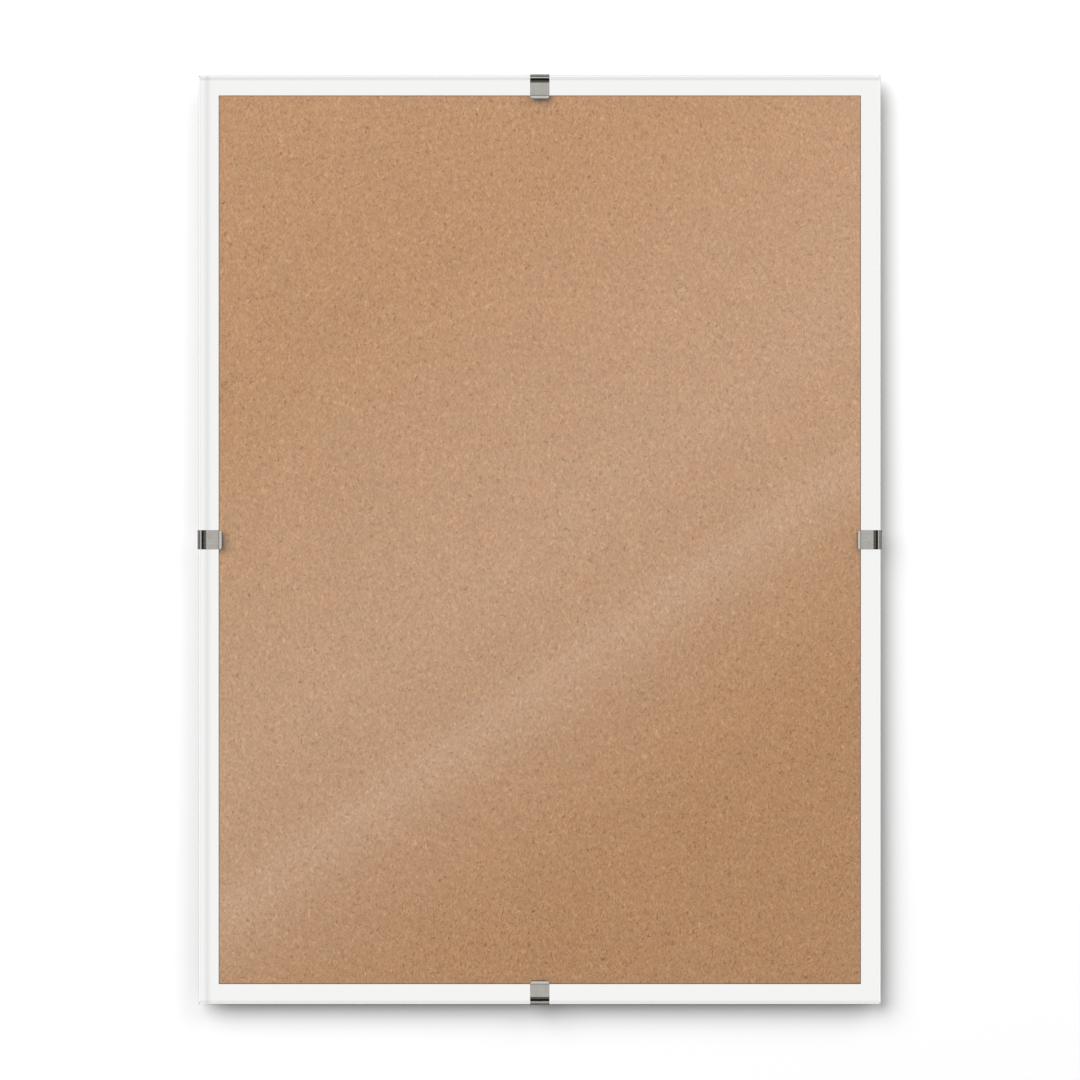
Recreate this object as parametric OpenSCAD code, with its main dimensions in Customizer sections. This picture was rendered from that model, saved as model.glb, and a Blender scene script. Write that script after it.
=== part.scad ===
// Clip frame: a clear pane over a sheet and a smaller hardboard back, held by
// four spring clips, with a triangle hanger for upright and one for sideways
// hanging. X is to the right, Z is up and Y runs from the front to the wall.
// The origin is the point where the wall hook bears in the upright hanger.

/* [Pane] */
// Width of the clear pane
pane_w = 300; // [240:1:500]
// Height of the clear pane
pane_h = 408.5; // [300:0.5:700]
// Thickness of the pane
pane_t = 2; // [1.6:0.1:3]
// Width of the ground arris along every edge of the pane
pane_arris = 0.6; // [0.5:0.05:0.75]

/* [Sheet and board] */
// How far the pane stands out past the board, on every side
overhang = 8.65; // [6:0.05:10]
// Thickness of the insert sheet
sheet_t = 0.4; // [0.1:0.1:1]
// How much smaller the insert sheet is than the board, on every side
sheet_inset = 0.4; // [0.1:0.1:2]
// Thickness of the backing board
board_t = 3; // [2.6:0.1:5]

/* [Clips] */
// Width of the spring strip
clip_w = 8.5; // [7.5:0.1:12]
// Thickness of the spring strip
clip_t = 0.4; // [0.3:0.05:0.5]
// Distance from the pane's edge to the tip of a clip's lip
lip_reach = 10.6; // [10:0.05:12]
// Slope of the lip down to the glass, in degrees
lip_slope = 8; // [6:0.5:10]
// Inside radius of the shoulder that goes round the pane's edge
shoulder_r = 2.4; // [2.3:0.05:2.5]
// Inside radius of the heel that touches the glass
heel_r = 0.5; // [0.4:0.05:0.9]
// Angle at which the tip curls off the glass, in degrees
tip_curl = 28; // [22:1:35]
// Length of the straight end of the curled tip
tip_len = 1.6; // [1:0.1:2]
// Radius of the tip's corners
tip_corner_r = 1.8; // [0.8:0.1:2.5]
// Gap between a clip's web and the pane's edge
web_gap = 0.25; // [0.2:0.05:0.4]
// Running gap between a clip's heel and the glass
heel_gap = 0.05; // [0.03:0.01:0.1]
// Inside radius of the bend behind the pane
back_r = 1.5; // [1:0.1:2]
// Gap between the arm's ends and the back of the board
arm_gap = 0.5; // [0.35:0.05:0.7]
// Slope of the arm away from the board, in degrees
arm_slope = 7; // [6:0.5:9]
// Slope of the arm back towards the board, in degrees
toe_slope = 22; // [18:1:30]
// Gap between the arm's flat crown and the back of the board
crown_gap = 2; // [1.7:0.1:2.3]
// Distance from the pane's edge to the prong in its slot
prong_place = 26.5; // [25.5:0.5:32]
// How deep the prong reaches into the board
prong_depth = 2.2; // [1.5:0.1:2.4]
// Radius of the round pin hole in the arm's crown
pin_hole_r = 2.1; // [1.5:0.1:2.3]
// Gap round the prong in its slot
slot_gap = 0.4; // [0.3:0.05:0.6]
// How far a drawn-off lip ends up clear of the pane's edge
release_gap = 0.9; // [0.5:0.05:1.5]

/* [Hangers] */
// Distance from the pane's edge to the hinge of a hanger's ring
hanger_place = 47; // [45:1:70]
// Width of the folded strap
strap_w = 9; // [8:0.5:10]
// Thickness of the strap's steel
strap_t = 0.6; // [0.5:0.1:0.9]
// Distance from the ring's hinge to the strap's far end
strap_len = 21.5; // [21:0.5:28]
// Distance from the ring's hinge to the rivet
rivet_place = 16.5; // [16.2:0.1:17]
// Radius of the ring's wire
wire_r = 1; // [0.8:0.05:1.1]
// Outside width of the ring at its hinge side
ring_w = 18; // [17.5:0.5:22]
// Distance from the ring's hinge to the middle of its apex wire
ring_h = 11.5; // [11:0.1:12]
// Middle-line radius of the ring's bends
ring_bend_r = 1.6; // [1.4:0.1:1.8]
// Running gap between the wire and the strap's eye
eye_gap = 0.1; // [0.05:0.01:0.15]
// Radius of the rivet's shank
shank_r = 1.75; // [1.4:0.05:2]
// Radius of the rivet's domed head
rivet_head_r = 3.5; // [3:0.1:4]
// Height of the rivet's domed head
rivet_head_h = 1; // [0.8:0.1:1.4]
// Radius of the rivet's set end, in its recess in the board
set_end_r = 3; // [2.6:0.1:3.4]
// Thickness of the rivet's set end
set_end_t = 0.5; // [0.4:0.05:0.8]
// Fitting gap round the rivet
rivet_gap = 0.05; // [0.03:0.01:0.1]

/* [Hidden] */

$fn = 48;
// Overshoot of a cut past the face that it opens
cut = 1;

// Sides of the frame: the turn about Y that brings the top round to them
TOP = 0;
RIGHT = 90;
BOTTOM = 180;
LEFT = 270;

// Depths, from the pane's back face towards the wall
board_front = sheet_t;
board_back = sheet_t + board_t;

// Largest turn between two points of a strip's bend, in degrees
bend_step = 7;
// How much a bend swells the ring's wire, and how far straights run into it
bend_swell = 0.005;
bend_lap = 0.05;

// Middle lines of the clip's bends
half_t = clip_t / 2;
shoulder_mid = shoulder_r + half_t;
heel_mid = heel_r + half_t;
back_mid = back_r + half_t;
arm_bend_r = 6;
arm_bend_mid = arm_bend_r + half_t;
toe_bend_r = 2;
toe_bend_mid = toe_bend_r + half_t;
prong_bend_r = 0.6;
prong_bend_mid = prong_bend_r + half_t;

// The lip's straight takes up the reach that its bends leave
lip_len = (lip_reach + web_gap - shoulder_r - shoulder_mid * sin(lip_slope)
           - heel_mid * (sin(lip_slope) + sin(tip_curl)) - tip_len * cos(tip_curl)
           - half_t * sin(tip_curl)) / cos(lip_slope);
// Depth of the shoulder's centre that puts the heel on the glass
shoulder_depth = shoulder_r * cos(lip_slope) - lip_len * sin(lip_slope)
                 - (heel_r + clip_t) * (1 - cos(lip_slope)) - pane_t - heel_gap;
// The web runs down to the bend that leads into the arm
web_len = board_back + arm_gap - back_r * cos(arm_slope) - shoulder_depth;
rise_len = (crown_gap - arm_gap - arm_bend_r * (1 - cos(arm_slope))) / sin(arm_slope);
toe_len = (crown_gap - arm_gap - toe_bend_r * (1 - cos(toe_slope))) / sin(toe_slope);
// Distance from the pane's edge to both ends of the arm's flat crown
crown_start = back_r - web_gap - back_r * sin(arm_slope) + rise_len * cos(arm_slope)
              + arm_bend_r * sin(arm_slope);
crown_end = prong_place - prong_bend_r * (1 - sin(toe_slope)) - toe_len * cos(toe_slope)
            - toe_bend_r * sin(toe_slope);
crown_len = crown_end - crown_start;
crown_mid = (crown_start + crown_end) / 2;
// Depth in front of the pane's back face that holds the whole lip
tip_zone = pane_t + heel_r + shoulder_r + 2 * clip_t;
prong_len = prong_depth + arm_gap - prong_bend_r * cos(toe_slope);

// The clips draw straight off the pane, so each slot is as long as their travel
clip_travel = lip_reach + release_gap;
slot_start = prong_place - clip_travel - slot_gap;
slot_end = prong_place + clip_t + slot_gap;
slot_w = clip_w + 2 * slot_gap;

// The strap lies on the board and folds back round the ring's wire. Its eye is
// rolled a little tight and reamed to the running fit.
eye_r = wire_r + eye_gap;
eye_ream = 0.01;
eye_roll_r = eye_r - eye_ream;
eye_mid = eye_roll_r + strap_t / 2;
eye_depth = board_back + strap_t + eye_roll_r;
fold_slope = 40;
fold_r = 0.6;
fold_mid = fold_r + strap_t / 2;
// Gap that stays between the folded layers
layer_gap = 0.05;
strap_top = board_back + 2 * strap_t + layer_gap;
// Straight that leads from the eye down onto the strap's lower layer
fold_len = (2 * eye_roll_r - layer_gap - (eye_mid + fold_mid) * (1 - cos(fold_slope)))
           / sin(fold_slope);
fold_reach = (eye_mid + fold_mid) * sin(fold_slope) + fold_len * cos(fold_slope);

// The ring lies back until its apex nearly meets the board
ring_rest_gap = 0.05;
ring_tilt = asin((eye_depth - board_back - wire_r - ring_rest_gap) / ring_h);
ring_half = ring_w / 2 - wire_r;
apex_half = 2.2;
leg_angle = atan2(ring_h, ring_half - apex_half);

// Where the hook bears, measured from the pane's back face at its centre
hook_up = pane_h / 2 - hanger_place + (ring_h - wire_r) * cos(ring_tilt);
hook_depth = eye_depth - (ring_h - wire_r) * sin(ring_tilt);

// Puts the pane's middle where it hangs below the hook
module from_hook() {
    translate([0, -hook_depth, -hook_up]) children();
}

// Distance from the centre of the pane to its edge on one side
function edge_distance(side) = (side == TOP || side == BOTTOM) ? pane_h / 2 : pane_w / 2;

// Brings a shape drawn on the middle line of a side to that side. There X runs
// inwards from the pane's edge, Y towards the wall and Z along the edge.
module at_side(side) {
    rotate([0, side, 0]) translate([0, 0, edge_distance(side)]) rotate([0, 90, 0]) children();
}

// A path without its first stretch
function rest(path) = [for (i = [1 : len(path) - 1]) path[i]];

// Moves on to where a straight and the bend after it end
module onward(length, turn, mid_r) {
    translate([length, sign(turn) * mid_r, 0])
        rotate([0, 0, turn])
            translate([0, -sign(turn) * mid_r, 0])
                children();
}

// Points along one face of a bent strip, where offset is that face's distance to
// the left of the strip's middle line. Bends are arcs in steps of bend_step.
function face_points(path, offset, at, heading) =
    let (length = path[0][0],
         turn = path[0][1],
         centre_shift = sign(turn) * path[0][2],
         centre = at + length * ahead(heading) + centre_shift * left(heading),
         steps = max(1, ceil(abs(turn) / bend_step)),
         points = [for (i = [0 : turn == 0 ? 0 : steps])
                      centre + (offset - centre_shift) * left(heading + turn * i / steps)])
    len(path) == 1 ? points
                   : concat(points, face_points(rest(path), offset,
                                                centre - centre_shift * left(heading + turn),
                                                heading + turn));

function ahead(heading) = [cos(heading), sin(heading)];
function left(heading) = [-sin(heading), cos(heading)];
function backwards(points) = [for (i = [len(points) - 1 : -1 : 0]) points[i]];

// One bend of a round wire that starts at the origin and heads along X
module wire_bend(turn, mid_r) {
    translate([0, mid_r, 0])
        rotate([0, 0, -90])
            rotate_extrude(angle = turn)
                translate([mid_r, 0])
                    circle(r = wire_r + bend_swell);
}

// A round wire bent along a closed path of [straight length, turn, middle-line radius]
module bent_wire(path) {
    length = path[0][0];
    turn = path[0][1];
    mid_r = path[0][2];
    translate([-bend_lap, 0, 0])
        rotate([0, 90, 0]) cylinder(r = wire_r, h = length + 2 * bend_lap);
    translate([length, 0, 0]) wire_bend(turn, mid_r);
    if (len(path) > 1)
        onward(length, turn, mid_r) bent_wire(rest(path));
}

// Cross-section of the pane along one direction, with an arris at each corner
module pane_section(size) {
    half = size / 2;
    polygon([
        [-half, -pane_arris], [-half, pane_arris - pane_t],
        [pane_arris - half, -pane_t], [half - pane_arris, -pane_t],
        [half, pane_arris - pane_t], [half, -pane_arris],
        [half - pane_arris, 0], [pane_arris - half, 0]
    ]);
}

// Clear pane with ground arrises all round
module front_pane() {
    color([0.90, 0.95, 0.94, 0.35])
        intersection() {
            linear_extrude(height = pane_h, center = true)
                pane_section(pane_w);
            rotate([0, 90, 0])
                linear_extrude(height = pane_w, center = true) pane_section(pane_h);
        }
}

// Plain brown sheet that shows through the pane
module insert_sheet() {
    size_w = pane_w - 2 * (overhang + sheet_inset);
    size_h = pane_h - 2 * (overhang + sheet_inset);
    color([0.73, 0.58, 0.44])
        translate([-size_w / 2, 0, -size_h / 2]) cube([size_w, sheet_t, size_h]);
}

// Slot through the board in which a clip's prong sits and draws outwards
module prong_slot() {
    translate([slot_start, board_front - cut, -slot_w / 2])
        cube([slot_end - slot_start, board_t + 2 * cut, slot_w]);
}

// Hole through the board for a hanger's rivet, with the recess for its set end
module rivet_hole() {
    translate([hanger_place + rivet_place, 0, 0]) {
        translate([0, board_back + cut, 0])
            rotate([90, 0, 0]) cylinder(r = shank_r + rivet_gap, h = board_t + 2 * cut);
        translate([0, board_front + set_end_t + rivet_gap, 0])
            rotate([90, 0, 0]) cylinder(r = set_end_r + rivet_gap, h = set_end_t + cut);
    }
}

// Hardboard back, smaller than the pane, with its slots and rivet holes
module backing_board() {
    board_w = pane_w - 2 * overhang;
    board_h = pane_h - 2 * overhang;
    color([0.55, 0.40, 0.27])
        difference() {
            translate([-board_w / 2, board_front, -board_h / 2]) cube([board_w, board_t, board_h]);
            for (side = [TOP, RIGHT, BOTTOM, LEFT]) at_side(side) prong_slot();
            for (side = [TOP, RIGHT]) at_side(side) rivet_hole();
        }
}

// Rounds the two corners of the lip's tip
module tip_corners() {
    for (end = [-1, 1])
        translate([lip_reach - tip_corner_r, 0, end * (clip_w / 2 - tip_corner_r)])
            rotate([90, 0, 0])
                difference() {
                    translate([0, end > 0 ? 0 : -2 * tip_corner_r, 0])
                        cube([2 * tip_corner_r, 2 * tip_corner_r, tip_zone]);
                    translate([0, 0, -cut])
                        cylinder(r = tip_corner_r, h = tip_zone + 2 * cut);
                }
}

// Edge-on outline of a clip. Both halves start where the shoulder meets the web.
module clip_outline() {
    web_top = [-web_gap - half_t, shoulder_depth];
    lip = [[0, 90 + lip_slope, shoulder_mid],
           [lip_len, -lip_slope - tip_curl, heel_mid],
           [tip_len, 0, 0]];
    arm = [[web_len, arm_slope - 90, back_mid],
           [rise_len, -arm_slope, arm_bend_mid],
           [crown_len, -toe_slope, toe_bend_mid],
           [toe_len, toe_slope - 90, prong_bend_mid],
           [prong_len, 0, 0]];
    polygon(concat(face_points(arm, half_t, web_top, 90),
                   backwards(face_points(arm, -half_t, web_top, 90)),
                   face_points(lip, half_t, web_top, -90),
                   backwards(face_points(lip, -half_t, web_top, -90))));
}

// One spring clip: lip and shoulder over the pane, web past its edge, and an
// arm behind the board that ends in a prong
module clip() {
    color([0.68, 0.67, 0.65])
        difference() {
            translate([0, 0, -clip_w / 2]) linear_extrude(height = clip_w) clip_outline();
            tip_corners();
            translate([crown_mid, board_back + crown_gap + clip_t + cut, 0])
                rotate([90, 0, 0]) cylinder(r = pin_hole_r, h = clip_t + 2 * cut);
        }
}

// Edge-on outline of a strap: a lower layer on the board, the eye, the fold down
// from it and an upper layer
module strap_outline() {
    end = [hanger_place + strap_len, board_back + strap_t / 2];
    path = [[strap_len, -180 - fold_slope, eye_mid],
            [fold_len, fold_slope, fold_mid],
            [strap_len - fold_reach, 0, 0]];
    polygon(concat([end + strap_t / 2 * left(180)],
                   face_points(path, strap_t / 2, end, 180),
                   backwards(face_points(path, -strap_t / 2, end, 180)),
                   [end - strap_t / 2 * left(180)]));
}

// Steel strap folded round the ring's wire, with the rivet's hole in both layers
module hanger_strap() {
    color([0.74, 0.74, 0.73])
        difference() {
            translate([0, 0, -strap_w / 2]) linear_extrude(height = strap_w) strap_outline();
            translate([hanger_place, eye_depth, -strap_w / 2 - cut])
                cylinder(r = eye_r, h = strap_w + 2 * cut);
            translate([hanger_place + rivet_place, strap_top + cut, 0])
                rotate([90, 0, 0])
                    cylinder(r = shank_r + rivet_gap, h = strap_top - board_back + 2 * cut);
        }
}

// Triangle of wire that hinges in the strap's eye and goes over the wall hook
module hanger_ring() {
    turn_base = 180 - leg_angle;
    turn_apex = leg_angle;
    base_cut = ring_bend_r * tan(turn_base / 2);
    apex_cut = ring_bend_r * tan(turn_apex / 2);
    leg_len = norm([ring_h, ring_half - apex_half]) - base_cut - apex_cut;
    base_len = 2 * (ring_half - base_cut);
    apex_len = 2 * (apex_half - apex_cut);
    color([0.74, 0.74, 0.73])
        translate([hanger_place, eye_depth, 0])
            rotate([0, 0, ring_tilt])
                rotate([90, 0, 0])
                    rotate([0, 0, 90])
                        translate([-base_len / 2, 0, 0])
                            bent_wire([[base_len, turn_base, ring_bend_r],
                                       [leg_len, turn_apex, ring_bend_r],
                                       [apex_len, turn_apex, ring_bend_r],
                                       [leg_len, turn_base, ring_bend_r]]);
}

// Rivet: domed head on the strap, shank through both, end set in the board
module hanger_rivet() {
    dome_r = (pow(rivet_head_r, 2) + pow(rivet_head_h, 2)) / (2 * rivet_head_h);
    color([0.70, 0.70, 0.69])
        translate([hanger_place + rivet_place, 0, 0]) {
            intersection() {
                translate([0, strap_top + rivet_head_h - dome_r, 0]) sphere(r = dome_r, $fn = 96);
                translate([0, strap_top + rivet_head_h + cut, 0])
                    rotate([90, 0, 0]) cylinder(r = rivet_head_r + cut, h = rivet_head_h + cut);
            }
            translate([0, strap_top + rivet_head_h / 2, 0])
                rotate([90, 0, 0])
                    cylinder(r = shank_r, h = strap_top + rivet_head_h / 2 - board_front);
            translate([0, board_front + set_end_t, 0])
                rotate([90, 0, 0]) cylinder(r = set_end_r, h = set_end_t);
        }
}

from_hook() front_pane();
from_hook() insert_sheet();
from_hook() backing_board();
from_hook() at_side(TOP) clip();  // clip_top
from_hook() at_side(RIGHT) clip();  // clip_right
from_hook() at_side(BOTTOM) clip();  // clip_bottom
from_hook() at_side(LEFT) clip();  // clip_left
from_hook() at_side(TOP) hanger_strap();  // hanger_strap_portrait
from_hook() at_side(RIGHT) hanger_strap();  // hanger_strap_landscape
from_hook() at_side(TOP) hanger_ring();  // hanger_ring_portrait
from_hook() at_side(RIGHT) hanger_ring();  // hanger_ring_landscape
from_hook() at_side(TOP) hanger_rivet();  // hanger_rivet_portrait
from_hook() at_side(RIGHT) hanger_rivet();  // hanger_rivet_landscape
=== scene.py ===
from math import asin, atan2, ceil, cos, degrees, hypot, pi, radians, sin, sqrt, tan

import bmesh
import bpy
from mathutils import Matrix, Vector


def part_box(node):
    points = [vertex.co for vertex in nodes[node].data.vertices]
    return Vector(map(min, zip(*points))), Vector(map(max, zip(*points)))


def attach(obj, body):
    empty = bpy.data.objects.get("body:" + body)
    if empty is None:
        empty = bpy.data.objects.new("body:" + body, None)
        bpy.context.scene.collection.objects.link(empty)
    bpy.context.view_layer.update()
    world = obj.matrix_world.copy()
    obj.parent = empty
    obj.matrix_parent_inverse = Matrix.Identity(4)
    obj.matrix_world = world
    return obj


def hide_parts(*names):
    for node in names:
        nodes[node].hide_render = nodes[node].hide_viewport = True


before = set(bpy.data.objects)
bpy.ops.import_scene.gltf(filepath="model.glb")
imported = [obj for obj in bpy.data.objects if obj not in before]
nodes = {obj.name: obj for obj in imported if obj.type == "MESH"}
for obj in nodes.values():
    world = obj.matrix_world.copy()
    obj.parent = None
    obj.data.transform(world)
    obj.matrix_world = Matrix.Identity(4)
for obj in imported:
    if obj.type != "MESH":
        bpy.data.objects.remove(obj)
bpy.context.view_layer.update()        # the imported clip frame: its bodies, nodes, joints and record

MM = 0.001


# The pane
# Clear float glass, cut to size and held by nothing but the clips. Its faces are polished,
# and its ground edges are pale, with a painted glow on them that lightens them a little.

class Value:
    """What a shader node gives out, with the sums that a finish needs."""

    def __init__(self, finish, socket):
        self.finish = finish
        self.socket = socket

    def maths(self, operation, *others):
        return self.finish.maths(operation, self, *others)

    def __add__(self, other):
        return self.maths("ADD", other)

    def __sub__(self, other):
        return self.maths("SUBTRACT", other)

    def __rsub__(self, other):
        return self.finish.maths("SUBTRACT", other, self)

    def __mul__(self, other):
        return self.maths("MULTIPLY", other)

    def __truediv__(self, other):
        return self.maths("DIVIDE", other)

    def __gt__(self, other):
        return self.maths("GREATER_THAN", other)

    def __abs__(self):
        return self.maths("ABSOLUTE")

    __radd__ = __add__
    __rmul__ = __mul__


class Finish:
    """The nodes of one material, or of the world, added as they are needed."""

    def __init__(self, owner):
        owner.use_nodes = True
        self.owner = owner
        self.tree = owner.node_tree
        self.tree.nodes.clear()

    def node(self, kind, settings=None, sockets=None, out=0):
        """Adds a node: its settings first, then the values or links of its sockets."""
        added = self.tree.nodes.new("ShaderNode" + kind)
        for name, setting in (settings or {}).items():
            if name == "stops":
                set_stops(added.color_ramp, setting)
            else:
                setattr(added, name, setting)
        for name, value in (sockets or {}).items():
            if isinstance(value, Value):
                self.tree.links.new(value.socket, added.inputs[name])
            else:
                added.inputs[name].default_value = value
        return Value(self, added.outputs[out]) if added.outputs else None

    def maths(self, operation, *values):
        return self.node("Math", {"operation": operation}, dict(enumerate(values)))

    def mix(self, share, first, second):
        """A colour between two, by share."""
        return self.node("Mix", {"data_type": "RGBA"}, {0: share, 6: first, 7: second}, out=2)

    def ramp(self, value, stops):
        """A level that follows value through stops of (position, level)."""
        return self.node("ValToRGB", {"stops": stops}, {"Fac": value})

    def noise(self, place, size, detail=2.0, out="Fac"):
        """Noise between 0 and 1 whose patches are about size across."""
        return self.node("TexNoise", sockets={"Vector": place, "Scale": 1 / size,
                                              "Detail": detail}, out=out)

    def place(self):
        return self.node("TexCoord", out="Object")

    def part(self, vector, axis):
        return self.node("SeparateXYZ", sockets={"Vector": vector}, out=axis)

    def facing(self, axis):
        """How squarely a surface faces along one of the piece's own axes."""
        return self.part(self.node("TexCoord", out="Normal"), axis)

    def stretched(self, place, turn, lengths):
        """Place, turned about Y by turn degrees and measured in lengths along each axis."""
        return self.node("Mapping", {"vector_type": "TEXTURE"},
                         {"Vector": place, "Rotation": (0, radians(turn), 0), "Scale": lengths})

    def bump(self, height, distance, strength):
        return self.node("Bump", sockets={"Height": height, "Distance": distance,
                                          "Strength": strength}, out="Normal")

    def cover(self, shader):
        self.node("OutputMaterial", sockets={"Surface": shader})


def set_stops(ramp, stops):
    """Gives a colour ramp its stops, each a position and a grey level."""
    while len(ramp.elements) < len(stops):
        ramp.elements.new(1.0)
    for element, (position, level) in zip(ramp.elements, stops):
        element.position = position
        element.color = (level, level, level, 1)


def shade(red, green, blue):
    """A colour as it looks on a screen, from 0 to 255, as the shaders want it."""
    return (*(linear(channel / 255) for channel in (red, green, blue)), 1)


def linear(level):
    return level / 12.92 if level <= 0.04045 else ((level + 0.055) / 1.055) ** 2.4


def dress(piece, finish):
    """Gives every slot of a piece the finish's material."""
    if not piece.material_slots:
        piece.data.materials.append(finish.owner)
    for slot in piece.material_slots:
        slot.material = finish.owner


pane_low, pane_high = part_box("front_pane")
pane_w = pane_high.x - pane_low.x
pane_h = pane_high.z - pane_low.z
pane_t = pane_high.y - pane_low.y
# The middle of the pane's back face, from which the other pieces are measured
pane_middle = Vector((0, pane_high.y, (pane_low.z + pane_high.z) / 2))
# Squarer than the first is a polished face, and less square than the second the outer edge
polished_facing = 0.95
edge_facing = 0.3
# Painted reflections along three sides: how far in they lie, half their width, and their depth
top_reflection_line = (1.5 * MM, 0.9 * MM, 0.5)
left_reflection_line = (3.7 * MM, 1.9 * MM, 0.36)
bottom_reflection_line = (1 * MM, 1 * MM, 0.28)


def pane_glass():
    glass = Finish(bpy.data.materials.new("pane_glass"))
    squarely = abs(glass.facing("Y"))
    ground = 1 - (squarely > polished_facing)
    outer_edge = 1 - (squarely > edge_facing)
    x = glass.part(glass.place(), "X")
    z = glass.part(glass.place(), "Z")
    # Grey lines of painted reflection, where the pane's edges would show in its back face
    painted_reflection = 0
    for inwards, (reflection_place, half_width, depth) in [(pane_high.z - z, top_reflection_line),
                                                     (x - pane_low.x, left_reflection_line),
                                                     (z - pane_low.z, bottom_reflection_line)]:
        off_line = abs(inwards - reflection_place) / half_width
        painted_reflection = (1 - off_line).maths("MAXIMUM", 0.0) * depth + painted_reflection
    tint = glass.mix(ground, shade(249, 249, 248), shade(255, 255, 255))
    tint = glass.mix(painted_reflection, tint, shade(200, 201, 202))
    # Painted glow: the ground edges and arrises give out a little light of their own
    glow = glass.mix(outer_edge, shade(150, 152, 151), shade(150, 176, 164))
    clear = glass.node("BsdfPrincipled", sockets={
        "Base Color": glass.mix(outer_edge, tint, shade(222, 236, 230)),
        "Roughness": ground * 0.08 + outer_edge * 0.22, "IOR": 1.5, "Transmission Weight": 1.0,
        "Emission Color": glass.mix(ground, shade(0, 0, 0), glow),
        "Emission Strength": 0.6})
    lit_through = glass.node("BsdfTransparent", sockets={"Color": (0.94, 0.95, 0.945, 1)})
    to_lamp = glass.node("LightPath", out="Is Shadow Ray")
    scattered = glass.node("LightPath", out="Is Diffuse Ray")
    passing = to_lamp + scattered
    glass.cover(glass.node("MixShader", sockets={0: passing, 1: clear, 2: lit_through}))
    return glass


dress(nodes["front_pane"], pane_glass())


# The insert sheet
# Brown card of recycled pulp, cut a little smaller than the board. Its face is a felt of
# short pale and dark fibres, with a few dark flecks and faint warmer and cooler patches.

pale_fibre = (2.7 * MM, 0.58 * MM)
dark_fibre = (2.4 * MM, 0.56 * MM)
fleck_size = (2.6 * MM, 0.9 * MM)
fibre_swerve = 2.2 * MM
swerve_size = 2.6 * MM
grain_size = 0.56 * MM
grain_stretch = 2.4
patch_size = 7 * MM
cloud_size = 34 * MM


def fibre_strokes(finish, place, turn, length, width, level):
    """The crests of noise drawn out into strokes that lie at one angle."""
    drawn = finish.stretched(place, turn, (length, length, width))
    crest = finish.noise(drawn, size=1, detail=1.0)
    return (crest - level).maths("MAXIMUM", 0.0)


def brown_card():
    card = Finish(bpy.data.materials.new("brown_card"))
    place = card.place()
    swerve = card.noise(place, swerve_size, detail=1.0, out="Color")
    swerve = card.node("VectorMath", {"operation": "SUBTRACT"}, {0: swerve, 1: (0.5, 0.5, 0.5)})
    swerve = card.node("VectorMath", {"operation": "SCALE"}, {0: swerve, "Scale": fibre_swerve})
    place = card.node("VectorMath", {"operation": "ADD"}, {0: place, 1: swerve})
    pale = 0
    dark = 0
    for turn in (38, 70, 87, 104, 140):
        pale = fibre_strokes(card, place, turn, *pale_fibre, 0.56) + pale
        dark = fibre_strokes(card, place, turn + 14, *dark_fibre, 0.57) + dark
    flecks = 0
    for turn in (30, 95, 160):
        fleck = fibre_strokes(card, place, turn, *fleck_size, 0.71)
        flecks = (fleck * 14).maths("MINIMUM", 1.0) + flecks
    grain = card.noise(card.stretched(place, 0, (1, 1, grain_stretch)), grain_size) - 0.5
    patch = card.noise(card.place(), patch_size)
    cloud = card.noise(card.place(), cloud_size)
    ground = card.mix(patch, shade(193, 137, 94), shade(181, 140, 100))
    ground = card.mix((cloud - 0.35) * 1.2, ground, shade(192, 142, 101))
    ground = card.mix(pale * 1.4 + (grain * 0.5).maths("MAXIMUM", 0.0), ground,
                      shade(226, 181, 136))
    ground = card.mix(dark * 1.75 + (grain * -0.6).maths("MAXIMUM", 0.0), ground,
                      shade(130, 80, 42))
    colour = card.mix(flecks * 0.55, ground, shade(104, 60, 30))
    height = pale - dark + grain * 0.4
    card.cover(card.node("BsdfPrincipled", sockets={
        "Base Color": colour,
        "Roughness": 0.86 - pale * 0.5,
        "Specular IOR Level": 0.25,
        "Normal": card.bump(height, 0.05 * MM, 0.6)}))
    return card


dress(nodes["insert_sheet"], brown_card())


# The backing board
# Hardboard, pressed from wood fibre: smooth in front and marked at the back by the wire
# screen that it was pressed on. It is sawn to size, with a punched slot for each clip.

board_low, board_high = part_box("backing_board")
board_front = board_low.y - pane_middle.y
board_back = board_high.y - pane_middle.y
screen_pitch = 1.5 * MM
wood_fibre = (4 * MM, 0.5 * MM)
layer_size = (3 * MM, 0.25 * MM, 3 * MM)


def hardboard():
    board = Finish(bpy.data.materials.new("hardboard"))
    place = board.place()
    back = board.facing("Y") > 0.5
    cut = 1 - (abs(board.facing("Y")) > 0.5)
    across = board.part(place, "X") * (pi / screen_pitch)
    up = board.part(place, "Z") * (pi / screen_pitch)
    weave = abs(across.maths("SINE")) * abs(up.maths("SINE"))
    fibres = 0
    for turn in (15, 75, 135):
        fibres = fibre_strokes(board, place, turn, *wood_fibre, 0.52) + fibres
    cloud = board.noise(place, 40 * MM, detail=3.0)
    fine = board.noise(place, 0.7 * MM, detail=3.0)
    layers = board.noise(board.stretched(place, 0, layer_size), size=1, detail=3.0)
    colour = board.mix(cloud, shade(128, 92, 62), shade(150, 110, 76))
    colour = board.mix(fibres * 1.6, colour, shade(186, 148, 110))
    colour = board.mix(back * weave * 0.35, colour, shade(88, 60, 40))
    colour = board.mix(fine * 0.25, colour, shade(78, 52, 34))
    colour = board.mix(cut * 0.75, colour, board.mix(layers, shade(104, 72, 46),
                                                     shade(158, 120, 84)))
    height = back * weave * -1.0 + fibres * 0.8 + fine * 0.5 + cut * layers
    board.cover(board.node("BsdfPrincipled", sockets={
        "Base Color": colour,
        "Roughness": 0.72 + fine * 0.2,
        "Specular IOR Level": 0.3,
        "Normal": board.bump(height, 0.12 * MM, 0.8)}))
    return board


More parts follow.
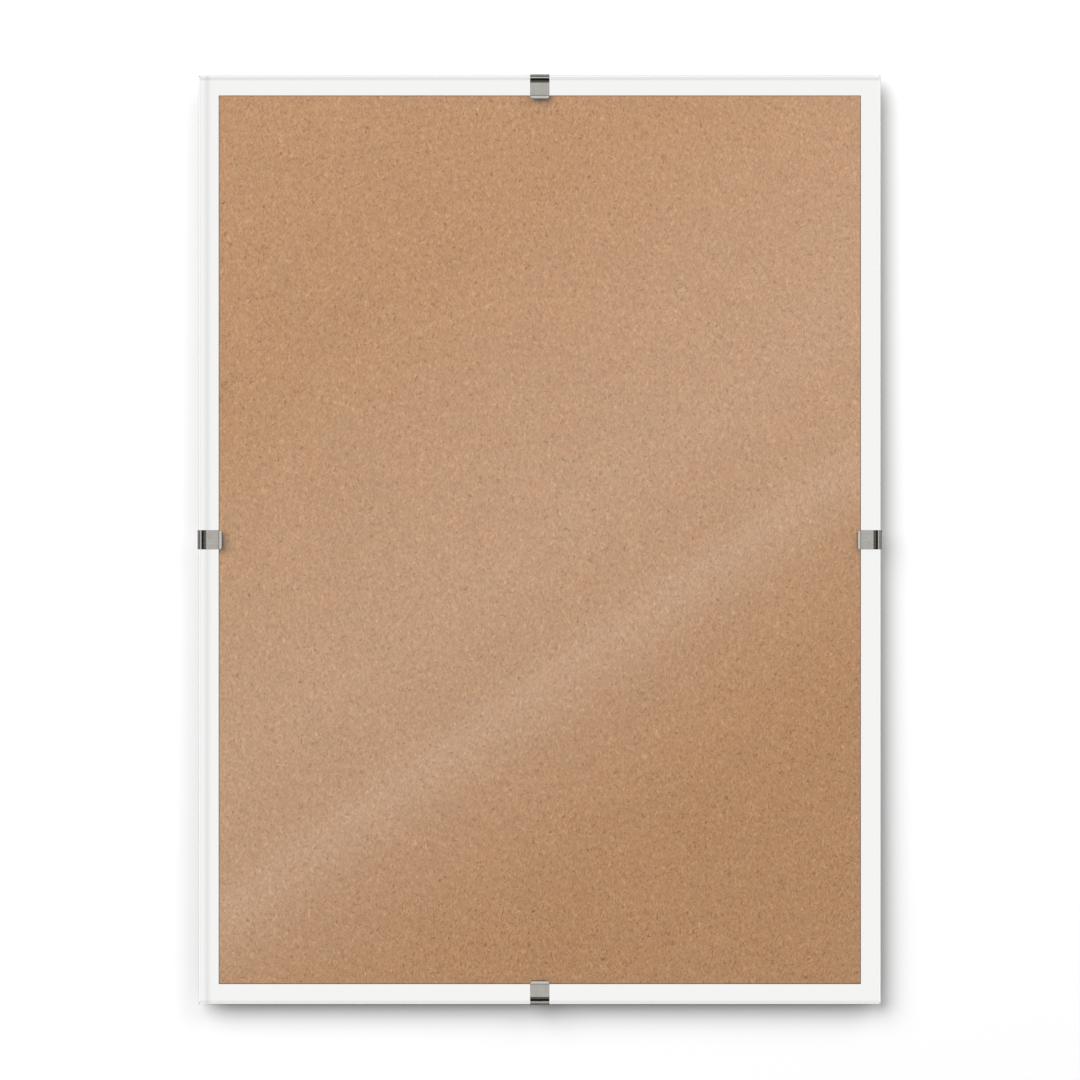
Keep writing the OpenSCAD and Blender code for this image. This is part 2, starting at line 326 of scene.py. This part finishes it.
dress(nodes["backing_board"], hardboard())


# The hanger straps
# Zinc-plated steel folded round the ring's wire, two layers thick where the rivet goes
# through. One hangs the frame upright and the other sideways.

hanger_place = 47 * MM
strap_w = 9 * MM
strap_t = 0.6 * MM
strap_len = 21.5 * MM
rivet_place = 16.5 * MM
wire_r = 1 * MM
eye_gap = 0.1 * MM
layer_gap = 0.05 * MM
fold_slope = 40
fold_r = 0.6 * MM
strap_rounding = 0.14 * MM
shank_r = 1.75 * MM
rivet_gap = 0.05 * MM

eye_r = wire_r + eye_gap
eye_mid = eye_r + strap_t / 2
eye_depth = board_back + strap_t + eye_r
fold_mid = fold_r + strap_t / 2
strap_top = board_back + 2 * strap_t + layer_gap
fold_sin, fold_cos = sin(radians(fold_slope)), cos(radians(fold_slope))
fold_len = (2 * eye_r - layer_gap - (eye_mid + fold_mid) * (1 - fold_cos)) / fold_sin
fold_reach = (eye_mid + fold_mid) * fold_sin + fold_len * fold_cos

TOP, RIGHT, BOTTOM, LEFT = 0, 90, 180, 270
BEND_STEP = 3
ROUND_STEPS = 3
ROUND_SIDES = 48
LEAST_CORNER = 0.02 * MM
RIM_EASING = 0.05 * MM
SHARP_ANGLE = radians(38)


def side_place(side):
    """Matrix of one side of the pane: X inwards from its edge, Y to the wall, Z along it."""
    to_edge = (pane_h if side in (TOP, BOTTOM) else pane_w) / 2
    return (Matrix.Translation(pane_middle) @ Matrix.Rotation(radians(side), 4, "Y")
            @ Matrix.Translation((0, 0, to_edge)) @ Matrix.Rotation(radians(90), 4, "Y"))


def ahead(heading):
    return Vector((cos(radians(heading)), sin(radians(heading))))


def left(heading):
    return Vector((-sin(radians(heading)), cos(radians(heading))))


def stations(path, at, heading, stride=2 * MM):
    """Points and headings along a middle line of [straight length, turn, radius] bends."""
    found = [(at, heading)]
    for length, turn, radius in path:
        parts = ceil(length / stride)
        start = at
        for part in range(1, parts + 1):
            at = start + length * part / parts * ahead(heading)
            found.append((at, heading))
        bend_side = 1 if turn > 0 else -1
        centre = at + bend_side * radius * left(heading)
        steps = ceil(abs(turn) / BEND_STEP)
        for step in range(1, steps + 1):
            turned = heading + turn * step / steps
            at = centre - bend_side * radius * left(turned)
            found.append((at, turned))
        heading += turn
    return found


def eased_end(at, heading, rounding):
    """Stations that round off a strip's last edge, with how far each one draws in."""
    found = []
    for step in range(1, ROUND_STEPS + 1):
        angle = radians(90 * step / ROUND_STEPS)
        found.append((at - rounding * (1 - sin(angle)) * ahead(heading), heading,
                      rounding * (1 - cos(angle))))
    return found


def strip_rings(line, half_width_at, thickness, rounding):
    """Closed rings of points round a strip whose edges and ends are a little rounded."""
    (first_at, first_heading), (last_at, last_heading) = line[0], line[-1]
    head = [(at, heading + 180, shrink)
            for at, heading, shrink in eased_end(first_at, first_heading + 180, rounding)]
    body = [(at, heading, 0) for at, heading in line[1:-1]]
    first = (first_at + rounding * ahead(first_heading), first_heading, 0)
    last = (last_at - rounding * ahead(last_heading), last_heading, 0)
    tail = eased_end(last_at, last_heading, rounding)
    rings = []
    for at, heading, shrink in [*head[::-1], first, *body, last, *tail]:
        half_width = half_width_at(at) - shrink
        half_t = thickness / 2 - shrink
        corner = max(rounding - shrink, LEAST_CORNER)
        ring = []
        for quarter in range(4):
            through = 1 if quarter in (0, 3) else -1
            across = 1 if quarter in (0, 1) else -1
            for step in range(ROUND_STEPS + 1):
                angle = radians(90 * (quarter + step / ROUND_STEPS))
                offset = through * (half_t - corner) + corner * cos(angle)
                point = at + offset * left(heading)
                width_at = across * (half_width - corner) + corner * sin(angle)
                ring.append((point.x, point.y, width_at))
        rings.append(ring)
    return rings


def skin(name, rings):
    """A smooth closed mesh over rings of points, capped at both ends."""
    mesh = bpy.data.meshes.new(name)
    form = bmesh.new()
    rows = [[form.verts.new(point) for point in ring] for ring in rings]
    for row, following in zip(rows, rows[1:]):
        for i in range(len(row)):
            form.faces.new((row[i - 1], row[i], following[i], following[i - 1]))
    form.faces.new(rows[0])
    form.faces.new(rows[-1])
    bmesh.ops.recalc_face_normals(form, faces=form.faces)
    for face in form.faces:
        face.smooth = True
    form.to_mesh(mesh)
    form.free()
    mesh.set_sharp_from_angle(angle=SHARP_ANGLE)
    return mesh


def round_ring(centre, radius, along_y):
    """A circle of points about the Y axis through centre, at the depth along_y."""
    turns = [radians(360 * i / ROUND_SIDES) for i in range(ROUND_SIDES)]
    return [(centre + radius * cos(turn), along_y, radius * sin(turn)) for turn in turns]


def drilled(mesh, centre, radius, start, end):
    """The mesh with a round hole along Y through it, its rims eased."""
    drill_mesh = skin("drill", [round_ring(centre, radius, depth) for depth in (start, end)])
    drill = bpy.data.objects.new("drill", drill_mesh)
    blank = bpy.data.objects.new("blank", mesh)
    for thing in (drill, blank):
        bpy.context.scene.collection.objects.link(thing)
    hole = blank.modifiers.new("hole", "BOOLEAN")
    hole.object = drill
    hole.solver = "EXACT"
    rim = blank.modifiers.new("rim", "BEVEL")
    rim.limit_method = "ANGLE"
    rim.angle_limit = radians(60)
    rim.width = RIM_EASING
    rim.segments = 2
    seen = bpy.context.evaluated_depsgraph_get()
    result = bpy.data.meshes.new_from_object(blank.evaluated_get(seen))
    result.set_sharp_from_angle(angle=SHARP_ANGLE)
    for thing in (drill, blank):
        bpy.data.objects.remove(thing)
    return result


def stand_for(node, body, name, mesh, finish, placed):
    """Puts a finished piece where its plain node is, and lets it ride on the body."""
    piece = bpy.data.objects.new(name, mesh)
    bpy.context.scene.collection.objects.link(piece)
    piece.matrix_world = placed
    even = piece.modifiers.new("even_faces", "WEIGHTED_NORMAL")
    even.keep_sharp = True
    dress(piece, finish)
    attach(piece, body)
    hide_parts(node)


def zinc_plate():
    zinc = Finish(bpy.data.materials.new("zinc_plate"))
    place = zinc.place()
    mottle = zinc.noise(place, 1.6 * MM, detail=3.0)
    fine = zinc.noise(place, 0.18 * MM)
    smear = zinc.noise(place, 6 * MM)
    scratch = 0
    for turn in (24, 71, 138):
        scratch = fibre_strokes(zinc, place, turn, 6 * MM, 0.07 * MM, 0.66) + scratch
    colour = zinc.mix(mottle, shade(196, 199, 203), shade(214, 214, 210))
    colour = zinc.mix((smear - 0.45) * 0.8, colour, shade(206, 200, 184))
    colour = zinc.mix(scratch * 2.0, colour, shade(236, 236, 234))
    zinc.cover(zinc.node("BsdfPrincipled", sockets={
        "Base Color": colour,
        "Metallic": 1.0,
        "Roughness": 0.3 + mottle * 0.14 + smear * 0.08 - scratch * 0.6,
        "Normal": zinc.bump(fine + mottle * 0.6 - scratch, 0.02 * MM, 0.5)}))
    return zinc


def folded_strap():
    far_end = Vector((hanger_place + strap_len, board_back + strap_t / 2))
    path = [[strap_len, -180 - fold_slope, eye_mid],
            [fold_len, fold_slope, fold_mid],
            [strap_len - fold_reach, 0, 0]]
    line = stations(path, far_end, 180)
    rings = strip_rings(line, lambda at: strap_w / 2, strap_t, strap_rounding)
    return drilled(skin("folded_strap", rings), hanger_place + rivet_place,
                   shank_r + rivet_gap, board_back - strap_t, strap_top + strap_t)


zinc = zinc_plate()
strap_mesh = folded_strap()
HANGERS = [("portrait", TOP), ("landscape", RIGHT)]
for hanging, side in HANGERS:
    stand_for("hanger_strap_" + hanging, "frame_stack", "strap_" + hanging, strap_mesh,
              zinc, side_place(side))


# The hanger rings
# Zinc-plated round wire bent to a triangle. Its ends meet inside the strap's eye, and it
# lies back on the board until it is swung up over a hook.

ring_w = 18 * MM
ring_h = 11.5 * MM
ring_bend_r = 1.6 * MM
ring_rest_gap = 0.05 * MM
apex_half = 2.2 * MM
wire_end_gap = 0.12 * MM
wire_sides = 28


def bent_ring():
    ring_half = ring_w / 2 - wire_r
    leg_angle = degrees(atan2(ring_h, ring_half - apex_half))
    base_turn = 180 - leg_angle
    base_cut = ring_bend_r * tan(radians(base_turn / 2))
    apex_cut = ring_bend_r * tan(radians(leg_angle / 2))
    base_part = ring_half - base_cut - wire_end_gap / 2
    leg_len = hypot(ring_h, ring_half - apex_half) - base_cut - apex_cut
    path = [[base_part, base_turn, ring_bend_r],
            [leg_len, leg_angle, ring_bend_r],
            [2 * (apex_half - apex_cut), leg_angle, ring_bend_r],
            [leg_len, base_turn, ring_bend_r],
            [base_part, 0, 0]]
    line = stations(path, Vector((wire_end_gap / 2, 0)), 0)
    rings = []
    for at, heading in line:
        ring = []
        for i in range(wire_sides):
            angle = radians(360 * i / wire_sides)
            point = at + wire_r * cos(angle) * left(heading)
            ring.append((-point.y, wire_r * sin(angle), point.x))
        rings.append(ring)
    return skin("bent_ring", rings)


ring_mesh = bent_ring()
ring_tilt = asin((eye_depth - board_back - wire_r - ring_rest_gap) / ring_h)
hinge = Matrix.Translation((hanger_place, eye_depth, 0)) @ Matrix.Rotation(ring_tilt, 4, "Z")
for hanging, side in HANGERS:
    stand_for("hanger_ring_" + hanging, "ring_" + hanging, "wire_ring_" + hanging, ring_mesh,
              zinc, side_place(side) @ hinge)


# The hanger rivets
# Steel rivets set from the back through strap and board, with a low domed head. The set
# end spreads in a recess behind the insert sheet.

rivet_head_r = 3.5 * MM
rivet_head_h = 1 * MM
head_rim = 0.14 * MM
set_end_r = 3 * MM
set_end_t = 0.5 * MM
rivet_easing = 0.08 * MM
dome_steps = 14


def set_rivet():
    dome_rise = rivet_head_h - head_rim
    dome_r = (rivet_head_r ** 2 + dome_rise ** 2) / (2 * dome_rise)
    dome_half = asin(rivet_head_r / dome_r)
    set_back = board_front + set_end_t
    profile = [(set_end_r - rivet_easing, board_front),
               (set_end_r, board_front + rivet_easing),
               (set_end_r, set_back - rivet_easing),
               (set_end_r - rivet_easing, set_back),
               (shank_r, set_back),
               (shank_r, strap_top),
               (rivet_head_r - rivet_easing / 2, strap_top),
               (rivet_head_r, strap_top + rivet_easing / 2)]
    for step in range(dome_steps):
        angle = dome_half * (1 - step / dome_steps)
        profile.append((dome_r * sin(angle),
                        strap_top + rivet_head_h - dome_r * (1 - cos(angle))))
    return skin("set_rivet", [round_ring(0, radius, depth) for radius, depth in profile])


rivet_mesh = set_rivet()
rivet_centre = Matrix.Translation((hanger_place + rivet_place, 0, 0))
for hanging, side in HANGERS:
    stand_for("hanger_rivet_" + hanging, "frame_stack", "set_rivet_" + hanging, rivet_mesh,
              zinc, side_place(side) @ rivet_centre)


# The spring clips
# Strips of plated spring steel. The lip presses on the glass, the shoulder goes round the
# pane's edge, and the arm behind the board ends in a prong that sits in its slot.

clip_w = 8.5 * MM
clip_t = 0.4 * MM
lip_reach = 10.6 * MM
lip_slope = 8
shoulder_r = 2.4 * MM
heel_r = 0.5 * MM
tip_curl = 28
tip_len = 1.6 * MM
tip_corner_r = 1.8 * MM
web_gap = 0.25 * MM
heel_gap = 0.05 * MM
back_r = 1.5 * MM
arm_gap = 0.5 * MM
arm_slope = 7
arm_bend_r = 6 * MM
toe_slope = 22
toe_bend_r = 2 * MM
crown_gap = 2 * MM
prong_place = 26.5 * MM
prong_bend_r = 0.6 * MM
prong_depth = 2.2 * MM
pin_hole_r = 2.1 * MM
clip_rounding = 0.09 * MM
roll_mark = (9 * MM, 9 * MM, 0.09 * MM)
# Where the painted dark reflection across the shoulder's bend lies, and how far it spreads
dark_reflection_place = 2.5 * MM
dark_reflection_spread = 1 * MM
# Where the painted shade at the lip's tip begins, and how far it spreads
tip_shade_place = 9.95 * MM
tip_shade_spread = 0.3 * MM

half_t = clip_t / 2
slope_sin, slope_cos = sin(radians(lip_slope)), cos(radians(lip_slope))
curl_sin, curl_cos = sin(radians(tip_curl)), cos(radians(tip_curl))
arm_sin, arm_cos = sin(radians(arm_slope)), cos(radians(arm_slope))
toe_sin, toe_cos = sin(radians(toe_slope)), cos(radians(toe_slope))
lip_len = (lip_reach + web_gap - shoulder_r - (shoulder_r + half_t) * slope_sin
           - (heel_r + half_t) * (slope_sin + curl_sin) - tip_len * curl_cos
           - half_t * curl_sin) / slope_cos
shoulder_depth = (shoulder_r * slope_cos - lip_len * slope_sin
                  - (heel_r + clip_t) * (1 - slope_cos) - pane_t - heel_gap)
web_len = board_back + arm_gap - back_r * arm_cos - shoulder_depth
rise_len = (crown_gap - arm_gap - arm_bend_r * (1 - arm_cos)) / arm_sin
toe_len = (crown_gap - arm_gap - toe_bend_r * (1 - toe_cos)) / toe_sin
crown_start = (back_r - web_gap - back_r * arm_sin + rise_len * arm_cos
               + arm_bend_r * arm_sin)
crown_end = (prong_place - prong_bend_r * (1 - toe_sin) - toe_len * toe_cos
             - toe_bend_r * toe_sin)


def clip_half_width(at):
    """Half the strip's width at a point, narrower where the lip's corners are rounded."""
    from_tip = max(lip_reach - at.x, 0)
    if at.y > -pane_t or from_tip >= tip_corner_r:
        return clip_w / 2
    return clip_w / 2 - tip_corner_r + sqrt(tip_corner_r ** 2 - (tip_corner_r - from_tip) ** 2)


def spring_clip():
    web_top = Vector((-web_gap - half_t, shoulder_depth))
    lip = stations([[0, 90 + lip_slope, shoulder_r + half_t],
                    [lip_len, -lip_slope - tip_curl, heel_r + half_t],
                    [tip_len, 0, 0]], web_top, -90, stride=0.12 * MM)
    arm = stations([[web_len, arm_slope - 90, back_r + half_t],
                    [rise_len, -arm_slope, arm_bend_r + half_t],
                    [crown_end - crown_start, -toe_slope, toe_bend_r + half_t],
                    [toe_len, toe_slope - 90, prong_bend_r + half_t],
                    [prong_depth + arm_gap - prong_bend_r * toe_cos, 0, 0]],
                   web_top, 90, stride=12 * MM)
    line = [(at, heading + 180) for at, heading in lip[:0:-1]] + arm
    rings = strip_rings(line, clip_half_width, clip_t, clip_rounding)
    crown = board_back + crown_gap
    return drilled(skin("spring_clip", rings), (crown_start + crown_end) / 2, pin_hole_r,
                   crown - clip_t, crown + 2 * clip_t)


def spring_steel():
    steel = Finish(bpy.data.materials.new("spring_steel"))
    place = steel.place()
    rolled = steel.noise(steel.stretched(place, 0, roll_mark), size=1, detail=3.0)
    speckle = steel.noise(place, 0.22 * MM)
    smear = steel.noise(place, 3.4 * MM)
    sheared = abs(steel.facing("Z")) > 0.8
    inwards = steel.part(place, "X")
    on_lip = 1 - (steel.part(place, "Y") > -pane_t)
    # Painted dark reflection: a near-black band across the lip's shoulder bend, where the curve would
    # mirror dark surroundings
    off_bend = abs(inwards - dark_reflection_place) / dark_reflection_spread
    painted_dark_reflection = on_lip * ((1 - off_bend) * 1.8).maths("MAXIMUM", 0.0)
    # Painted shade: the last part of the lip turns a dark bluish grey, standing in for the tip's edge
    # and its shadow
    painted_tip_shade = on_lip * ((inwards - tip_shade_place) / tip_shade_spread).maths("MAXIMUM", 0.0)
    colour = steel.mix(rolled, shade(176, 173, 167), shade(214, 211, 204))
    colour = steel.mix((smear - 0.5) * 0.7, colour, shade(188, 180, 165))
    colour = steel.mix(painted_dark_reflection.maths("MINIMUM", 0.85), colour, shade(52, 50, 48))
    colour = steel.mix(painted_tip_shade.maths("MINIMUM", 0.6), colour, shade(74, 84, 92))
    colour = steel.mix(sheared * 0.6, colour, shade(120, 117, 112))
    steel.cover(steel.node("BsdfPrincipled", sockets={
        "Base Color": colour,
        "Metallic": 1.0,
        "Roughness": 0.07 + rolled * 0.07 + smear * 0.05 + sheared * 0.3,
        "Normal": steel.bump(rolled + speckle * 0.4, 0.012 * MM, 0.5)}))
    return steel


clip_mesh = spring_clip()
steel = spring_steel()
for where, side in [("top", TOP), ("right", RIGHT), ("bottom", BOTTOM), ("left", LEFT)]:
    stand_for("clip_" + where, "clip_" + where, "spring_clip_" + where, clip_mesh,
              steel, side_place(side))


# The backdrop
# A plain white wall close behind the frame, open where the board hides it. It keeps the
# frame's soft shadow, and further out it gives way to the white of the world.

wall_gap = 5.6 * MM
wall_half = 0.42
wall_overlap = 25 * MM
wall_fade = 0.30
wall_white = 0.96


def corners(half_w, half_h):
    return [(-half_w, 0, -half_h), (half_w, 0, -half_h), (half_w, 0, half_h), (-half_w, 0, half_h)]


def stage_card(name, half_w, half_h, opening=None):
    """A flat card in the XZ plane about its own origin, facing the camera."""
    mesh = bpy.data.meshes.new(name)
    if opening is None:
        mesh.from_pydata(corners(half_w, half_h), [], [(0, 1, 2, 3)])
    else:
        sides = [(i, (i + 1) % 4, 4 + (i + 1) % 4, 4 + i) for i in range(4)]
        mesh.from_pydata(corners(half_w, half_h) + corners(*opening), [], sides)
    card = bpy.data.objects.new(name, mesh)
    bpy.context.scene.collection.objects.link(card)
    return card


def unseen_by(item, *rays):
    """Hides a card or a lamp from the rays that are named."""
    for ray in rays:
        setattr(item, "visible_" + ray, False)


def white_wall():
    wall = Finish(bpy.data.materials.new("white_wall"))
    place = wall.place()
    far = wall.node("VectorMath", {"operation": "LENGTH"}, {0: place}, out="Value")
    gone = ((far - wall_fade) / (wall_half - wall_fade)).maths("MINIMUM", 1.0)
    gone = gone.maths("MAXIMUM", 0.0)
    behind = wall.node("NewGeometry", out="Backfacing")
    through_glass = wall.node("LightPath", out="Is Transmission Ray")
    paint = wall.node("BsdfDiffuse", sockets={"Color": (wall_white, wall_white, wall_white, 1)})
    glow = wall.node("Emission", sockets={"Color": (1, 1, 1, 1), "Strength": 1.0})
    clear = wall.node("BsdfTransparent")
    seen = wall.node("MixShader", sockets={0: through_glass, 1: paint, 2: glow})
    seen = wall.node("MixShader", sockets={0: gone, 1: seen, 2: glow})
    wall.cover(wall.node("MixShader", sockets={0: behind, 1: seen, 2: clear}))
    return wall


board_half_w = board_high.x
board_half_h = board_high.z - pane_middle.z
backdrop = stage_card("backdrop", wall_half, wall_half,
                      (board_half_w - wall_overlap, board_half_h - wall_overlap))
backdrop.location = (0, board_high.y + wall_gap, pane_middle.z)
dress(backdrop, white_wall())
unseen_by(backdrop, "diffuse", "glossy", "shadow")


# The border card
# The pane's clear border lets the lamps through, so a dark film behind it, which only
# the backdrop's light meets, keeps the pane's whole outline in the shadow.

border_gap = 0.3 * MM
border_level = 0.05


def shading_film():
    film = Finish(bpy.data.materials.new("shading_film"))
    level = (border_level, border_level, border_level, 1)
    film.cover(film.node("BsdfTransparent", sockets={"Color": level}))
    return film


border_card = stage_card("border_card", pane_w / 2, pane_h / 2, (board_half_w, board_half_h))
border_card.location = (0, pane_high.y + border_gap, pane_middle.z)
dress(border_card, shading_film())
unseen_by(border_card, "camera", "glossy", "transmission")


# The light
# A wide soft lamp up to the left gives the shadow, a weak one brightens the right and one
# behind lights the back. The world fills the rest, in bands that the metal mirrors.

world_fill = 0.34


def lamp(name, place, size, power):
    """A round lamp aimed at the frame, itself out of sight."""
    light = bpy.data.lights.new(name, "AREA")
    light.shape = "DISK"
    light.size = size
    light.energy = power
    item = bpy.data.objects.new(name, light)
    bpy.context.scene.collection.objects.link(item)
    item.location = place
    item.rotation_euler = (pane_middle - Vector(place)).to_track_quat("-Z", "Y").to_euler()
    unseen_by(item, "camera", "glossy", "transmission")


def studio_world():
    world = Finish(bpy.data.worlds.new("studio"))
    direction = world.node("TexCoord", out="Generated")
    angle = (world.part(direction, "Y") * -1).maths("ARCCOSINE") / pi

    def by_angle(levels):
        """A level that goes by the degrees between a direction and the frame's front."""
        return world.ramp(angle, [(off / 180, level) for off, level in levels])

    bands = [(0, 0.04), (40, 0.04), (47, 0.8), (52, 1.0), (64, 1.0), (69, 0.12), (90, 0.12),
             (95, 0.9), (101, 0.9), (105, 0.12), (130, 0.14), (138, 0.45), (160, 0.62), (180, 0.5)]
    rear = by_angle([(0, 0), (110, 0), (130, 1), (180, 1)])
    mirrored = by_angle(bands) * (1 + rear * world.part(direction, "Z") * 0.9)
    glossy_depth = world.node("LightPath", out="Glossy Depth")
    diffuse_depth = world.node("LightPath", out="Diffuse Depth")
    glossy = glossy_depth.maths("MINIMUM", 1.0)
    bounced = (glossy_depth + diffuse_depth).maths("MINIMUM", 1.0)
    sharp = world.node("LightPath", out="Is Singular Ray")
    in_glass = by_angle([(0, 0.4), (30, 0.4), (60, 0.75), (100, 0.5), (180, 0.6)])
    mirrored = world.mix(sharp, mirrored, in_glass)
    direct = world.mix(glossy, (world_fill, world_fill, world_fill, 1), mirrored)
    seen = world.mix(bounced, (1, 1, 1, 1), direct)
    shine = world.node("Background", sockets={"Color": seen, "Strength": 1.0})
    world.node("OutputWorld", sockets={"Surface": shine})
    return world


lamp("window_lamp", (-1.55, -2.42, pane_middle.z + 1.35), 3.2, 108)
lamp("side_lamp", (0.7, -0.75, pane_middle.z + 0.75), 0.8, 4.3)
lamp("back_lamp", (0.9, 1.5, pane_middle.z + 1.0), 1.6, 24)
bpy.context.scene.world = studio_world().owner
bpy.context.scene.world.cycles.sampling_method = "NONE"


# The glare on the glass
# What the glass throws back of the room: a slanting bright edge with a pale haze above it.
# A film on the pane's face holds it, over the sheet alone, and only the camera sees it.

sheet_low, sheet_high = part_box("insert_sheet")
film_off = 0.02 * MM
streak_low = Vector((-138.4, -171.7)) * MM
streak_high = Vector((140.9, 26.3)) * MM
glare_level = 0.1


def glare():
    finish = Finish(bpy.data.materials.new("glare"))
    along = (streak_high - streak_low).normalized()
    x = finish.part(finish.place(), "X")
    z = finish.part(finish.place(), "Z")
    above = (x - streak_low.x) * -along.y + (z - streak_low.y) * along.x
    # How bright the film is at so many millimetres above the streak
    haze = [(-80, 0.1), (-54, 0.19), (-16, 0.46), (3, 0.88), (9, 0.96), (22, 0.67), (40, 0.7),
            (58, 0.82), (110, 0.66), (150, 0.51), (185, 0.32), (220, 0.32)]
    start, end = haze[0][0], haze[-1][0]
    across = (above / MM - start) / (end - start)
    shape = finish.ramp(across, [((off - start) / (end - start), level) for off, level in haze])
    light = finish.node("Emission", sockets={"Color": (1, 1, 1, 1), "Strength": glare_level})
    clear = finish.node("BsdfTransparent")
    lit = finish.node("AddShader", sockets={0: light, 1: clear})
    behind = finish.node("NewGeometry", out="Backfacing")
    finish.cover(finish.node("MixShader", sockets={0: (1 - behind) * shape, 1: clear, 2: lit}))
    return finish


glare_film = stage_card("glare_film", sheet_high.x, (sheet_high.z - sheet_low.z) / 2)
glare_film.location = (0, pane_low.y - film_off, pane_middle.z)
dress(glare_film, glare())
unseen_by(glare_film, "diffuse", "glossy", "shadow", "transmission")


# The reflector
# A white oval card in front of the frame. Only the brushed steel of the clips' lips
# mirrors it, and neither the camera nor the clear glass sees it.

reflector_distance = 1.3
reflector_half = Vector((0.25, 0.12))
reflector_level = 0.92


def reflector():
    finish = Finish(bpy.data.materials.new("reflector"))
    off_x = finish.part(finish.place(), "X") / reflector_half.x
    off_z = finish.part(finish.place(), "Z") / reflector_half.y
    inside = 1 - (off_x * off_x + off_z * off_z > 1)
    sharp = finish.node("LightPath", out="Is Singular Ray")
    light = finish.node("Emission", sockets={"Color": (1, 1, 1, 1), "Strength": reflector_level})
    clear = finish.node("BsdfTransparent")
    finish.cover(finish.node("MixShader", sockets={0: inside * (1 - sharp), 1: clear, 2: light}))
    return finish


reflector_card = stage_card("reflector_card", reflector_half.x, reflector_half.y)
reflector_card.location = (0, pane_low.y - reflector_distance, pane_middle.z)
dress(reflector_card, reflector())
unseen_by(reflector_card, "camera", "diffuse", "shadow", "transmission")


# The camera
# Square on to the pane and far off, so that the frame's depth hardly shows. The pane sits
# a hair off the middle, as in the photograph.

camera_lens = 200
camera_sensor = 36
frame_seen = 475.1 * MM
camera_off = 0.1 * MM
camera_distance = frame_seen * camera_lens / camera_sensor
camera_data = bpy.data.cameras.new("camera")
camera_data.lens = camera_lens
camera_data.sensor_width = camera_sensor
camera = bpy.data.objects.new("camera", camera_data)
bpy.context.scene.collection.objects.link(camera)
camera.location = (camera_off, pane_low.y - camera_distance, pane_middle.z - camera_off)
camera.rotation_euler = (radians(90), 0, 0)
bpy.context.scene.camera = camera
bpy.context.scene.view_settings.view_transform = "Standard"
